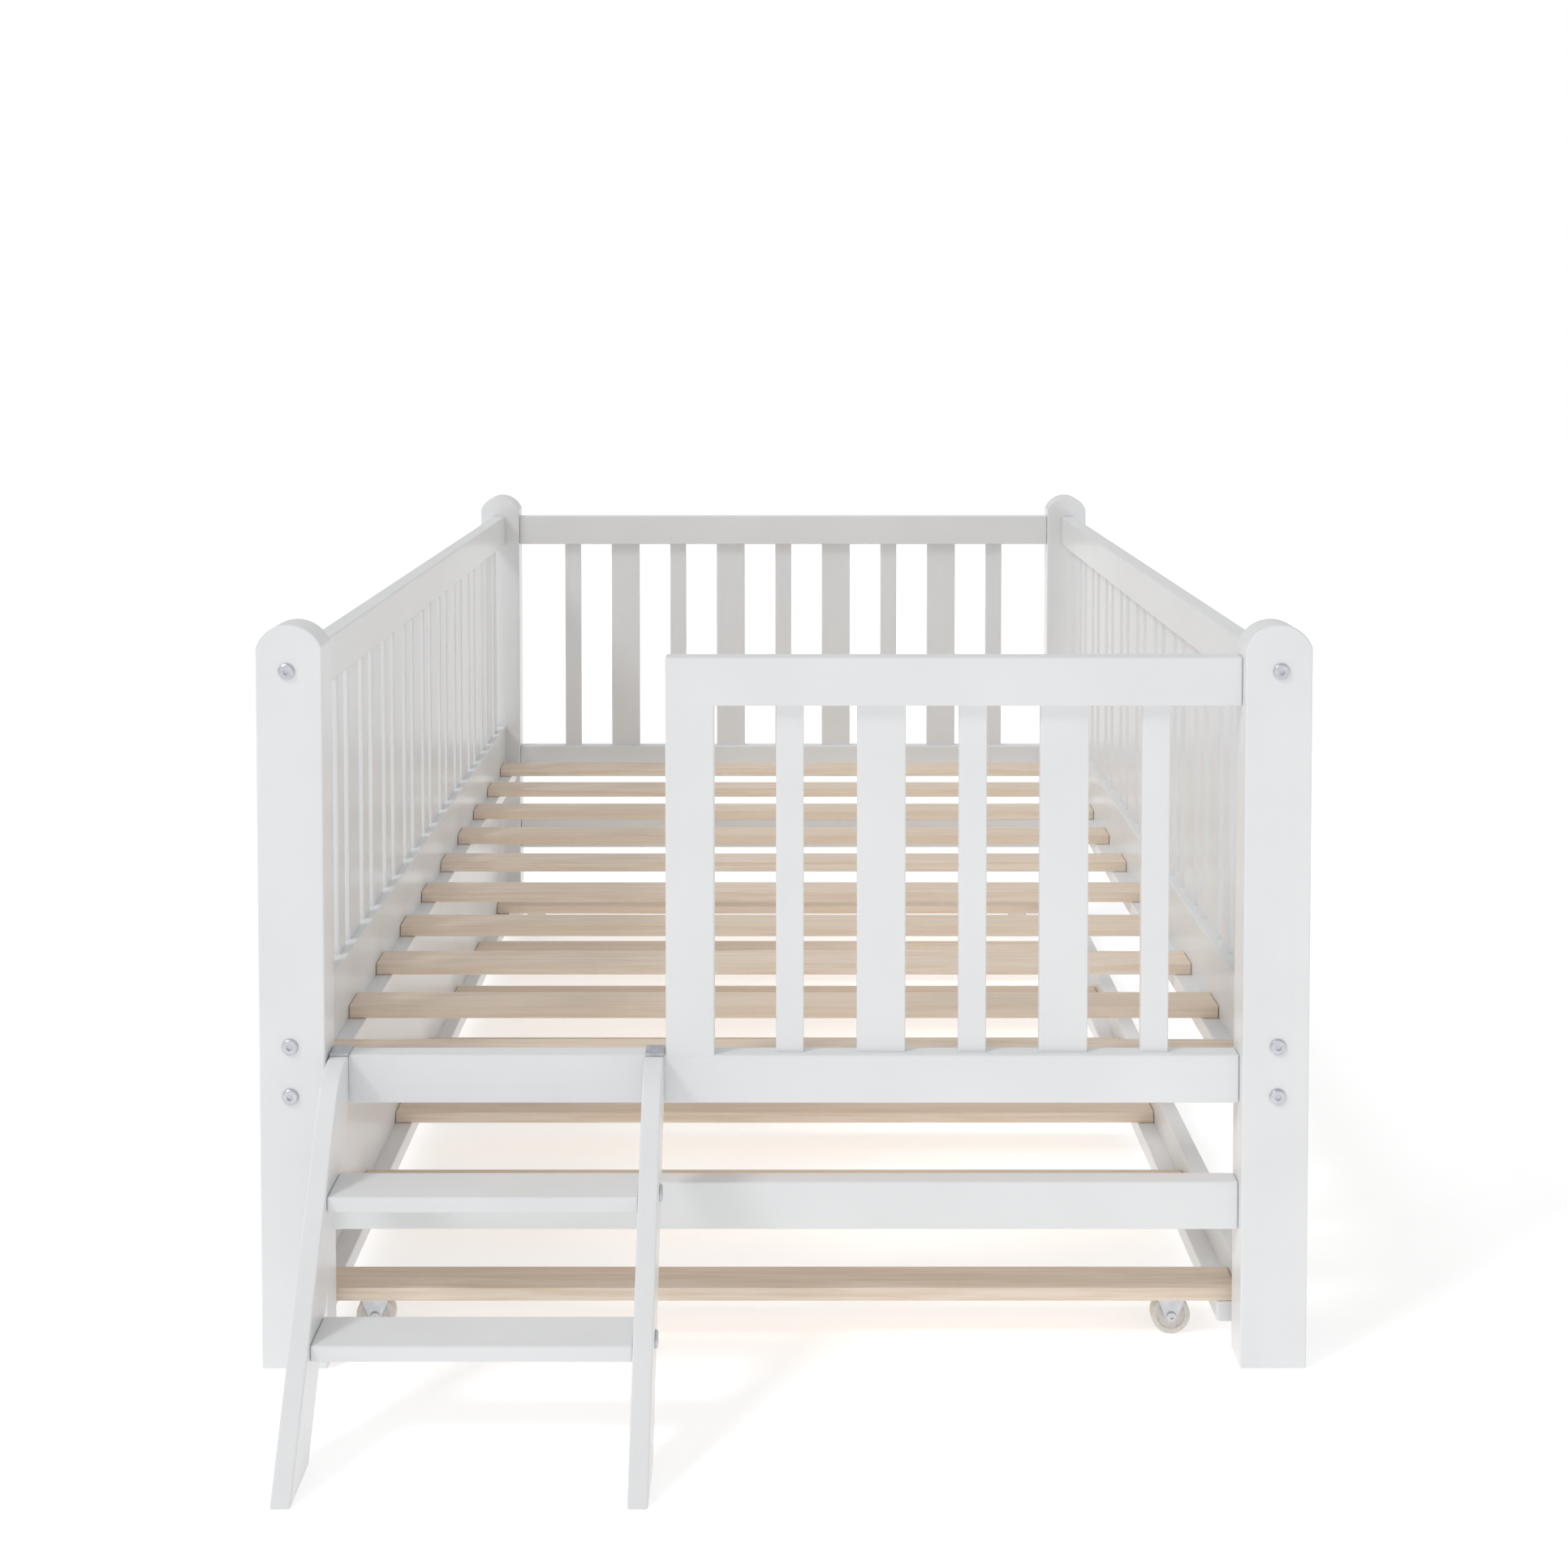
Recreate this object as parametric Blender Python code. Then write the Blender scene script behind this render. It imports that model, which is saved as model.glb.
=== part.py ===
# Trundle bed: a painted wooden guard bed with a hook-on ladder and a rolling trundle underneath.
# X runs across the bed, Y from the ladder end to the back end, Z up. Sizes are in metres.
import math

import bmesh
import bpy
from mathutils import Matrix, Vector

# Overall
BED_WIDTH = 1.500
BED_LENGTH = 2.010
GAP = 0.0003
EASE = 0.002
EASE_FROM = math.radians(35)
EASE_UP_TO = math.radians(100)
SMOOTH_UNDER = math.radians(40)

# Corner posts
POST_WIDTH = 0.095
POST_DEPTH = 0.056
POST_HEIGHT = 1.075
CROWN_RISE = 0.034
CROWN_STEPS = 14

# Rails
RAIL_THICK = 0.030
RAIL_HEIGHT = 0.070
END_RAIL_INSET = 0.018
SIDE_RAIL_INSET = 0.030
SIDE_RAIL_HEIGHT = 0.140
TOP_RAIL_BASE = 0.955
BED_RAIL_BASE = 0.380
STRETCHER_BASE = 0.195
SIDE_RAIL_BASE = 0.363

# Pickets, which run into their rails by a tenon
PICKET_THICK = 0.014
PICKET_NARROW = 0.040
PICKET_WIDE = 0.070
PICKET_INSET = 0.013
TENON = 0.012
SIDE_PITCH = 0.08715
BACK_PITCH = 0.131

# Guard beside the ladder opening
STILE_WIDTH = 0.070
STILE_STEP = 0.0005
GUARD_INSET = 0.011
GUARD_PITCH = 0.1315
GUARD_FIRST = 0.1085

# Slats and the ledgers they rest on
SLAT_COUNT = 10
SLAT_WIDTH = 0.062
SLAT_THICK = 0.020
SLAT_END_CLEAR = 0.0008
SLAT_FROM_RAIL = 0.076
LEDGER_SIDE = 0.028
LEDGER_TOP = 0.400
LEDGER_BITE = 0.002

# Trundle
TRUNDLE_CLEAR = 0.014
TRUNDLE_RAIL_INSET = 0.054
TRUNDLE_RAIL_THICK = 0.028
TRUNDLE_RAIL_HEIGHT = 0.084
FACE_INSET = 0.030
FACE_THICK = 0.020
FACE_CLEAR = 0.018
TRUNDLE_LEDGER = 0.030
TRUNDLE_SLATS = 7
TRUNDLE_SLAT_PITCH = 0.287
TRUNDLE_SLAT_FIRST = 0.0325
TRUNDLE_SLAT_LAST = 0.0525

# Casters
WHEEL_RADIUS = 0.0285
WHEEL_WIDTH = 0.020
WHEEL_STEPS = 20
WHEEL_HUB = 0.009
WHEEL_DISH = (0.011, 0.019)
WHEEL_DISH_DEPTH = 0.002
WHEEL_RIM = 0.0205
WHEEL_ROUND = 0.002
WHEEL_HEADROOM = 0.002
CASTER_INSET = 0.093
FORK_TOP_WIDTH = 0.044
FORK_LIP = 0.003
FORK_SHEET = 0.002
FORK_SIDE_CLEAR = 0.0015
EAR_RADIUS = 0.009
EAR_STEPS = 8
AXLE_RADIUS = 0.004
AXLE_HEAD_RADIUS = 0.0075
AXLE_HEAD = 0.0025
AXLE_STEPS = 12
AXLE_SINK = 0.0002

# Ladder
LADDER_WIDTH = 0.480
LADDER_SIDE_CLEAR = 0.0025
STRINGER_THICK = 0.027
STRINGER_BOARD = 0.078
LADDER_LEAN = 0.62
LADDER_CROWN = 0.080
LADDER_CROWN_STEPS = 6
TREAD_TOPS = (0.1535, 0.307)
TREAD_THICK = 0.022
TREAD_DEPTH = 0.074
TREAD_SETBACK = 0.006
HOOK_SHEET = 0.003
HOOK_FRONT_LEG = 0.050
HOOK_BACK_LEG = 0.030

# Bolts, with a socket for a hexagon key
BOLT_HEAD_RADIUS = 0.0115
BOLT_FLAT_RADIUS = 0.0092
BOLT_HEAD = 0.0035
BOLT_CHAMFER = 0.0012
BOLT_SHANK = 0.004
BOLT_BITE = 0.034
BOLT_STEPS = 12
SOCKET_HALF = 0.004
SOCKET_DEPTH = 0.002
SOCKET_SIDES = 6
HOLE_CLEAR = 0.0003
HOLE_SPARE = 0.001
TOP_BOLT_HEIGHT = 0.053
SIDE_BOLT_OFFSET = 0.036

# Finishes: colour, roughness, metallic
PAINT = ((0.80, 0.80, 0.81), 0.38, 0.0)
BARE_WOOD = ((0.66, 0.53, 0.39), 0.60, 0.0)
ZINC = ((0.50, 0.51, 0.53), 0.35, 1.0)
NYLON = ((0.69, 0.66, 0.61), 0.45, 0.0)

# Derived positions; depth is measured back from the front posts' front faces
HALF_WIDTH = BED_WIDTH / 2
POST_INNER = HALF_WIDTH - POST_WIDTH
BACK_POST = BED_LENGTH - POST_DEPTH
SIDE_RAIL_OUTER = HALF_WIDTH - SIDE_RAIL_INSET
SIDE_RAIL_INNER = SIDE_RAIL_OUTER - RAIL_THICK
SIDE_RAIL_TOP = SIDE_RAIL_BASE + SIDE_RAIL_HEIGHT
BED_RAIL_TOP = BED_RAIL_BASE + RAIL_HEIGHT
MID_LENGTH = BED_LENGTH / 2
STILE_LEFT = -POST_INNER + LADDER_WIDTH + 2 * LADDER_SIDE_CLEAR
TRUNDLE_FRONT = POST_DEPTH + TRUNDLE_CLEAR
TRUNDLE_BACK = BED_LENGTH - TRUNDLE_FRONT
TRUNDLE_LEDGER_TOP = 2 * WHEEL_RADIUS + WHEEL_HEADROOM + FORK_SHEET
TRUNDLE_BASE = TRUNDLE_LEDGER_TOP - TRUNDLE_LEDGER
TRUNDLE_RAIL_INNER = HALF_WIDTH - TRUNDLE_RAIL_INSET - TRUNDLE_RAIL_THICK
FACE_INNER = -HALF_WIDTH + FACE_INSET + FACE_THICK
LADDER_RIGHT = STILE_LEFT - LADDER_SIDE_CLEAR
LADDER_LEFT = LADDER_RIGHT - LADDER_WIDTH
LADDER_BACK = END_RAIL_INSET - HOOK_SHEET - 2 * GAP
LADDER_KNEE = BED_RAIL_BASE
LADDER_HEEL = LADDER_BACK - LADDER_LEAN * LADDER_KNEE
LADDER_TOE = LADDER_HEEL - STRINGER_BOARD * math.hypot(1, LADDER_LEAN)
FRONT_Y = -(BED_LENGTH + GAP + BOLT_HEAD + LADDER_TOE) / 2


def clear_scene():
    for old in list(bpy.data.objects):
        bpy.data.objects.remove(old, do_unlink=True)


def add_holder(name, parent=None, location=(0, 0, 0)):
    holder = bpy.data.objects.new(name, None)
    holder.parent = parent
    holder.location = location
    bpy.context.scene.collection.objects.link(holder)
    return holder


def add_material(name, finish):
    colour, roughness, metallic = finish
    material = bpy.data.materials.new(name + "_finish")
    material.use_nodes = True
    surface = material.node_tree.nodes["Principled BSDF"]
    surface.inputs["Base Color"].default_value = (*colour, 1)
    surface.inputs["Roughness"].default_value = roughness
    surface.inputs["Metallic"].default_value = metallic
    material.diffuse_color = (*colour, 1)
    return material


def ease_edges(shape, corners):
    corners = set(corners)
    bmesh.ops.recalc_face_normals(shape, faces=shape.faces)
    sharp = []
    for edge in shape.edges:
        if edge.verts[0] not in corners or edge.verts[1] not in corners:
            continue
        if EASE_FROM < edge.calc_face_angle() < EASE_UP_TO:
            sharp.append(edge)
    bmesh.ops.bevel(
        shape,
        geom=sharp,
        offset=EASE,
        offset_type="OFFSET",
        segments=1,
        profile=0.5,
        affect="EDGES",
    )


def add_box(shape, across, depth, height):
    spans = (across, depth, height)
    middle = [(low + high) / 2 for low, high in spans]
    size = [high - low for low, high in spans]
    place = Matrix.Translation(middle) @ Matrix.Diagonal((*size, 1))
    return bmesh.ops.create_cube(shape, size=1, matrix=place)["verts"]


def add_bar(shape, across, depth, height):
    ease_edges(shape, add_box(shape, across, depth, height))


def add_prism(shape, outline, axis, ends, eased=True):
    rings = []
    for end in ends:
        ring = []
        for first, height in outline:
            point = (end, first, height) if axis == "X" else (first, end, height)
            ring.append(shape.verts.new(point))
        rings.append(ring)
        shape.faces.new(ring)
    near, far = rings
    for i in range(len(outline)):
        shape.faces.new((near[i - 1], near[i], far[i], far[i - 1]))
    if eased:
        ease_edges(shape, near + far)


def reach(radius, flats, angle):
    # Distance from the centre to a circle, or to the side of a polygon with that many flats
    if not flats:
        return radius
    sector = math.tau / flats
    return radius / math.cos((angle + sector / 2) % sector - sector / 2)


def add_turned(shape, outline, steps, place, closed=False):
    # Each outline point is (radius, height, flats); radius 0 is a pole
    rings = []
    for radius, height, flats in outline:
        ring = []
        for step in range(steps if radius else 1):
            angle = math.tau * step / steps
            out = reach(radius, flats, angle)
            point = Vector((out * math.cos(angle), out * math.sin(angle), height))
            ring.append(shape.verts.new(place @ point))
        rings.append(ring)
    pairs = list(zip(rings, rings[1:]))
    if closed:
        pairs.append((rings[-1], rings[0]))
    for lower, upper in pairs:
        for i in range(steps):
            shape.faces.new(ring_face(lower, upper, i))


def ring_face(lower, upper, i):
    if len(lower) == 1:
        return lower[0], upper[i], upper[i - 1]
    if len(upper) == 1:
        return lower[i - 1], lower[i], upper[0]
    return lower[i - 1], lower[i], upper[i], upper[i - 1]


def facing(direction):
    turn = Vector((0, 0, 1)).rotation_difference(Vector(direction))
    return turn.to_matrix().to_4x4()


def middle_of(shape):
    lows = [min(vert.co[axis] for vert in shape.verts) for axis in range(3)]
    highs = [max(vert.co[axis] for vert in shape.verts) for axis in range(3)]
    return Vector([(low + high) / 2 for low, high in zip(lows, highs)])


def make(name, shape, holder, finish=None, origin=None, smooth=False):
    bmesh.ops.recalc_face_normals(shape, faces=shape.faces)
    place = Vector(origin) if origin else middle_of(shape)
    bmesh.ops.translate(shape, verts=shape.verts, vec=-place)
    mesh = bpy.data.meshes.new(name)
    shape.to_mesh(mesh)
    shape.free()
    if smooth:
        mesh.shade_smooth()
        mesh.set_sharp_from_angle(angle=SMOOTH_UNDER)
    piece = bpy.data.objects.new(name, mesh)
    piece.parent = holder
    piece.location = place
    bpy.context.scene.collection.objects.link(piece)
    if finish:
        mesh.materials.append(add_material(name, finish))
    else:
        piece.hide_render = True
        piece.display_type = "WIRE"
    return piece


def combine(piece, other, operation):
    step = piece.modifiers.new(other.name, "BOOLEAN")
    step.operation = operation
    step.solver = "EXACT"
    step.object = other
    return piece


def make_bar(name, holder, finish, across, depth, height):
    shape = bmesh.new()
    add_bar(shape, across, depth, height)
    return make(name, shape, holder, finish)


def make_glued(name, holder, finish, rails, infill):
    # Rails that stand apart, and the pieces glued between or onto them
    base = bmesh.new()
    for bar in rails:
        add_bar(base, *bar)
    piece = make(name, base, holder, finish)
    filling = bmesh.new()
    for bar in infill:
        add_bar(filling, *bar)
    return combine(piece, make(name + "_infill", filling, holder), "UNION")


def around(centre, width):
    return centre - width / 2, centre + width / 2


def picket_row(middle, pitch, half_room):
    # Picket spans centred on the middle, narrow there and alternating outwards
    reach_each_way = int((half_room - PICKET_WIDE / 2) / pitch)
    spans = []
    for k in range(-reach_each_way, reach_each_way + 1):
        width = PICKET_WIDE if k % 2 else PICKET_NARROW
        spans.append(around(middle + k * pitch, width))
    return spans


def crown_outline():
    # Post seen from the front: straight sides under a low round top
    half = POST_WIDTH / 2
    radius = (half**2 + CROWN_RISE**2) / (2 * CROWN_RISE)
    sweep = math.asin(half / radius)
    outline = [(-half, 0), (half, 0)]
    for step in range(CROWN_STEPS + 1):
        angle = sweep - 2 * sweep * step / CROWN_STEPS
        height = POST_HEIGHT - radius + radius * math.cos(angle)
        outline.append((radius * math.sin(angle), height))
    return outline


def make_posts(bed, holes):
    for end, front in (("front", 0), ("back", BACK_POST)):
        for side, sign in (("left", -1), ("right", 1)):
            centre = sign * (HALF_WIDTH - POST_WIDTH / 2)
            outline = [(centre + across, height) for across, height in crown_outline()]
            shape = bmesh.new()
            add_prism(shape, outline, "Y", (front, front + POST_DEPTH))
            post = make(f"post_{end}_{side}", shape, bed, PAINT)
            combine(post, holes, "DIFFERENCE")


def make_side_panels(bed, holes):
    run = (POST_DEPTH + GAP, BACK_POST - GAP)
    room = BACK_POST - MID_LENGTH
    height = (SIDE_RAIL_TOP - TENON, TOP_RAIL_BASE + TENON)
    for side, sign in (("left", -1), ("right", 1)):
        across = sorted((sign * SIDE_RAIL_INNER, sign * SIDE_RAIL_OUTER))
        near = SIDE_RAIL_INNER + PICKET_INSET
        thick = sorted((sign * near, sign * (near + PICKET_THICK)))
        rails = [
            (across, run, (TOP_RAIL_BASE, TOP_RAIL_BASE + RAIL_HEIGHT)),
            (across, run, (SIDE_RAIL_BASE, SIDE_RAIL_TOP)),
        ]
        infill = [(thick, span, height) for span in picket_row(MID_LENGTH, SIDE_PITCH, room)]
        ledger_inner = SIDE_RAIL_INNER - LEDGER_SIDE
        ledger = sorted((sign * ledger_inner, sign * (SIDE_RAIL_INNER + LEDGER_BITE)))
        infill.append((ledger, run, (LEDGER_TOP - LEDGER_SIDE, LEDGER_TOP)))
        panel = make_glued(f"side_panel_{side}", bed, PAINT, rails, infill)
        combine(panel, holes, "DIFFERENCE")


def make_end_panels(bed):
    between = (-POST_INNER + GAP, POST_INNER - GAP)
    bed_rail = (BED_RAIL_BASE, BED_RAIL_TOP)
    top_rail = (TOP_RAIL_BASE, TOP_RAIL_BASE + RAIL_HEIGHT)
    stretcher = (STRETCHER_BASE, STRETCHER_BASE + RAIL_HEIGHT)
    height = (BED_RAIL_TOP - TENON, TOP_RAIL_BASE + TENON)
    front = (END_RAIL_INSET, END_RAIL_INSET + RAIL_THICK)
    back = (BED_LENGTH - front[1], BED_LENGTH - front[0])

    stile = (STILE_LEFT, STILE_LEFT + STILE_WIDTH)
    infill = [(stile, (front[0] + STILE_STEP, front[1] - STILE_STEP), height)]
    thick = (front[0] + GUARD_INSET, front[0] + GUARD_INSET + PICKET_THICK)
    centre = stile[1] + GUARD_FIRST
    width = PICKET_NARROW
    while centre + PICKET_WIDE / 2 < POST_INNER:
        infill.append((around(centre, width), thick, height))
        width = PICKET_WIDE + PICKET_NARROW - width
        centre += GUARD_PITCH
    guard_rail = ((STILE_LEFT, POST_INNER - GAP), front, top_rail)
    make_glued("front_panel", bed, PAINT, [guard_rail, (between, front, bed_rail)], infill)
    make_bar("front_stretcher", bed, PAINT, between, front, stretcher)

    thick = (back[0] + PICKET_INSET, back[0] + PICKET_INSET + PICKET_THICK)
    infill = [(span, thick, height) for span in picket_row(0, BACK_PITCH, POST_INNER)]
    rails = [(between, back, top_rail), (between, back, bed_rail)]
    make_glued("back_panel", bed, PAINT, rails, infill)
    make_bar("back_stretcher", bed, PAINT, between, back, stretcher)


def make_slats(bed):
    across = (-SIDE_RAIL_INNER + SLAT_END_CLEAR, SIDE_RAIL_INNER - SLAT_END_CLEAR)
    height = (LEDGER_TOP + GAP, LEDGER_TOP + GAP + SLAT_THICK)
    first = END_RAIL_INSET + RAIL_THICK + SLAT_FROM_RAIL
    pitch = (BED_LENGTH - 2 * first) / (SLAT_COUNT - 1)
    for i in range(SLAT_COUNT):
        depth = around(first + i * pitch, SLAT_WIDTH)
        make_bar(f"slat_{i + 1:02d}", bed, BARE_WOOD, across, depth, height)


def bolt_places():
    # (name, position on the post's face, outward direction)
    middle = SIDE_RAIL_BASE + SIDE_RAIL_HEIGHT / 2
    heights = (TOP_RAIL_BASE + TOP_BOLT_HEIGHT, middle + SIDE_BOLT_OFFSET, middle - SIDE_BOLT_OFFSET)
    across = (SIDE_RAIL_OUTER + SIDE_RAIL_INNER) / 2
    places = []
    for end, depth, outward in (("front", 0, -1), ("back", BED_LENGTH, 1)):
        for side, sign in (("left", -1), ("right", 1)):
            for number, height in enumerate(heights, 1):
                name = f"bolt_{end}_{side}_{number}"
                places.append((name, Vector((sign * across, depth, height)), (0, outward, 0)))
    return places


def make_holes(holder, name, places, length):
    # Cutters for the bolts, open past the face they start from
    shape = bmesh.new()
    radius = BOLT_SHANK + HOLE_CLEAR
    outline = [(0, -length, 0), (radius, -length, 0), (radius, TENON, 0), (0, TENON, 0)]
    for _, spot, outward in places:
        add_turned(shape, outline, BOLT_STEPS, Matrix.Translation(spot) @ facing(outward))
    return make(name, shape, holder)


def make_bolts(holder, places, length):
    top = BOLT_HEAD
    outline = [
        (0, -length, 0),
        (BOLT_SHANK, -length, 0),
        (BOLT_SHANK, 0, 0),
        (BOLT_HEAD_RADIUS, 0, 0),
        (BOLT_HEAD_RADIUS, top - BOLT_CHAMFER, 0),
        (BOLT_FLAT_RADIUS, top, 0),
        (SOCKET_HALF, top, SOCKET_SIDES),
        (SOCKET_HALF, top - SOCKET_DEPTH, SOCKET_SIDES),
        (0, top - SOCKET_DEPTH, 0),
    ]
    for name, spot, outward in places:
        seat = spot + GAP * Vector(outward)
        shape = bmesh.new()
        add_turned(shape, outline, BOLT_STEPS, Matrix.Translation(seat) @ facing(outward))
        make(name, shape, holder, ZINC, origin=seat, smooth=True)


def make_trundle(trundle):
    run = (TRUNDLE_FRONT, TRUNDLE_BACK)
    ledge = (TRUNDLE_BASE, TRUNDLE_LEDGER_TOP)
    face_height = (TRUNDLE_BASE, SIDE_RAIL_BASE - FACE_CLEAR)
    rail_height = (TRUNDLE_BASE, TRUNDLE_BASE + TRUNDLE_RAIL_HEIGHT)
    face = ((FACE_INNER - FACE_THICK, FACE_INNER), run, face_height)
    rail = ((TRUNDLE_RAIL_INNER, TRUNDLE_RAIL_INNER + TRUNDLE_RAIL_THICK), run, rail_height)
    left = ((FACE_INNER - LEDGER_BITE, FACE_INNER + TRUNDLE_LEDGER), run, ledge)
    right = ((TRUNDLE_RAIL_INNER - TRUNDLE_LEDGER, TRUNDLE_RAIL_INNER + LEDGER_BITE), run, ledge)
    make_glued("trundle_face_board", trundle, PAINT, [face], [left])
    make_glued("trundle_rail", trundle, PAINT, [rail], [right])
    across = (FACE_INNER + SLAT_END_CLEAR, TRUNDLE_RAIL_INNER - SLAT_END_CLEAR)
    low = TRUNDLE_LEDGER_TOP + GAP
    for number, centre in enumerate(trundle_slat_centres(), 1):
        depth = around(centre, SLAT_WIDTH)
        name = f"trundle_slat_{number}"
        make_bar(name, trundle, BARE_WOOD, across, depth, (low, low + SLAT_THICK))


def trundle_slat_centres():
    inner = TRUNDLE_SLATS - 2
    centres = [TRUNDLE_FRONT + TRUNDLE_SLAT_FIRST]
    for i in range(inner):
        centres.append(MID_LENGTH + (i - (inner - 1) / 2) * TRUNDLE_SLAT_PITCH)
    centres[1:] = [centre - (TRUNDLE_SLAT_LAST - TRUNDLE_SLAT_FIRST) / 2 for centre in centres[1:]]
    centres.append(TRUNDLE_BACK - TRUNDLE_SLAT_LAST)
    return centres


def fork_outline(centre):
    # Seen along the axle: a flat top that narrows to a round ear about the axle
    half = FORK_TOP_WIDTH / 2
    lip = TRUNDLE_LEDGER_TOP - FORK_LIP
    drop = lip - WHEEL_RADIUS
    start = math.atan2(drop, half) - math.acos(EAR_RADIUS / math.hypot(drop, half))
    sweep = -math.pi - 2 * start
    outline = [(half, TRUNDLE_LEDGER_TOP), (half, lip)]
    for step in range(EAR_STEPS + 1):
        angle = start + sweep * step / EAR_STEPS
        height = WHEEL_RADIUS + EAR_RADIUS * math.sin(angle)
        outline.append((EAR_RADIUS * math.cos(angle), height))
    outline += [(-half, lip), (-half, TRUNDLE_LEDGER_TOP)]
    return [(centre + across, height) for across, height in outline]


def axle_outline(half_fork):
    inner = half_fork - AXLE_SINK
    outer = half_fork + AXLE_HEAD
    return [
        (0, -outer, 0),
        (AXLE_HEAD_RADIUS, -outer, 0),
        (AXLE_HEAD_RADIUS, -inner, 0),
        (AXLE_RADIUS, -inner, 0),
        (AXLE_RADIUS, inner, 0),
        (AXLE_HEAD_RADIUS, inner, 0),
        (AXLE_HEAD_RADIUS, outer, 0),
        (0, outer, 0),
    ]


def wheel_outline():
    # Half the section, hub to tread, then its mirror image
    half = WHEEL_WIDTH / 2
    floor = half - WHEEL_DISH_DEPTH
    side = [
        (AXLE_RADIUS + GAP, half),
        (WHEEL_HUB, half),
        (WHEEL_DISH[0], floor),
        (WHEEL_DISH[1], floor),
        (WHEEL_RIM, half),
        (WHEEL_RADIUS - WHEEL_ROUND, half),
        (WHEEL_RADIUS, half - WHEEL_ROUND),
    ]
    other = [(radius, -height) for radius, height in reversed(side)]
    return [(radius, height, 0) for radius, height in side + other]


def make_casters(trundle):
    half_slot = WHEEL_WIDTH / 2 + FORK_SIDE_CLEAR
    half_fork = half_slot + FORK_SHEET
    along = facing((0, 1, 0))
    centres = trundle_slat_centres()
    for end, depth in (("front", centres[0]), ("back", centres[-1])):
        for side, across in (
            ("left", FACE_INNER + CASTER_INSET),
            ("right", TRUNDLE_RAIL_INNER - CASTER_INSET),
        ):
            spot = Vector((across, depth, WHEEL_RADIUS))
            place = Matrix.Translation(spot) @ along
            shape = bmesh.new()
            ends = (depth - half_fork, depth + half_fork)
            add_prism(shape, fork_outline(across), "Y", ends, eased=False)
            fork = make(f"caster_fork_{end}_{side}", shape, trundle, ZINC)
            slot = bmesh.new()
            wide = around(across, 2 * FORK_TOP_WIDTH)
            under = (-WHEEL_RADIUS, TRUNDLE_LEDGER_TOP - FORK_SHEET)
            add_box(slot, wide, (depth - half_slot, depth + half_slot), under)
            combine(fork, make(fork.name + "_slot", slot, trundle), "DIFFERENCE")
            axle = bmesh.new()
            add_turned(axle, axle_outline(half_fork), AXLE_STEPS, place)
            combine(fork, make(fork.name + "_axle", axle, trundle), "UNION")
            wheel = bmesh.new()
            add_turned(wheel, wheel_outline(), WHEEL_STEPS, place, closed=True)
            hub = add_holder(f"hub_{end}_{side}", trundle, spot)
            bmesh.ops.translate(wheel, verts=wheel.verts, vec=-spot)
            make(f"caster_wheel_{end}_{side}", wheel, hub, NYLON, origin=(0, 0, 0), smooth=True)


def front_line(height):
    # Depth of the stringers' front edge at a height
    return LADDER_TOE + LADDER_LEAN * height


def stringer_outline():
    # Seen from the side: foot, sloping edges, a knee and an upright back, a round front shoulder
    corner = front_line(BED_RAIL_TOP)
    turn = math.pi / 2 - math.atan(LADDER_LEAN)
    centre = corner + LADDER_CROWN * math.tan(turn / 2)
    outline = [
        (LADDER_TOE, 0),
        (LADDER_HEEL, 0),
        (LADDER_BACK, LADDER_KNEE),
        (LADDER_BACK, BED_RAIL_TOP),
    ]
    for step in range(LADDER_CROWN_STEPS + 1):
        angle = math.pi / 2 + turn * step / LADDER_CROWN_STEPS
        depth = centre + LADDER_CROWN * math.cos(angle)
        outline.append((depth, BED_RAIL_TOP - LADDER_CROWN + LADDER_CROWN * math.sin(angle)))
    return outline


def hook_outline():
    # Bent strip over the bed rail, seen from the side
    front = END_RAIL_INSET - GAP
    back = END_RAIL_INSET + RAIL_THICK + GAP
    top = BED_RAIL_TOP + GAP
    return [
        (front - HOOK_SHEET, top - HOOK_FRONT_LEG),
        (front, top - HOOK_FRONT_LEG),
        (front, top),
        (back, top),
        (back, top - HOOK_BACK_LEG),
        (back + HOOK_SHEET, top - HOOK_BACK_LEG),
        (back + HOOK_SHEET, top + HOOK_SHEET),
        (front - HOOK_SHEET, top + HOOK_SHEET),
    ]


def make_ladder(ladder):
    sides = {
        "left": (LADDER_LEFT, LADDER_LEFT + STRINGER_THICK),
        "right": (LADDER_RIGHT - STRINGER_THICK, LADDER_RIGHT),
    }
    between = (sides["left"][1] + GAP, sides["right"][0] - GAP)
    places = []
    treads = []
    for level, top in zip(("lower", "upper"), TREAD_TOPS):
        front = front_line(top) + TREAD_SETBACK
        treads.append((level, (front, front + TREAD_DEPTH), (top - TREAD_THICK, top)))
        depth = front + TREAD_DEPTH / 2
        height = top - TREAD_THICK / 2
        places.append((f"ladder_bolt_left_{level}", Vector((LADDER_LEFT, depth, height)), (-1, 0, 0)))
        places.append((f"ladder_bolt_right_{level}", Vector((LADDER_RIGHT, depth, height)), (1, 0, 0)))
    length = STRINGER_THICK + BOLT_BITE
    holes = make_holes(ladder, "ladder_bolt_holes", places, length + HOLE_SPARE)
    for level, depth, height in treads:
        tread = make_bar(f"ladder_tread_{level}", ladder, PAINT, between, depth, height)
        combine(tread, holes, "DIFFERENCE")
    for side, ends in sides.items():
        shape = bmesh.new()
        add_prism(shape, stringer_outline(), "X", ends)
        stringer = make(f"ladder_stringer_{side}", shape, ladder, PAINT)
        combine(stringer, holes, "DIFFERENCE")
        strip = bmesh.new()
        add_prism(strip, hook_outline(), "X", ends, eased=False)
        make(f"ladder_hook_{side}", strip, ladder, ZINC)
    make_bolts(ladder, places, length)


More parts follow.
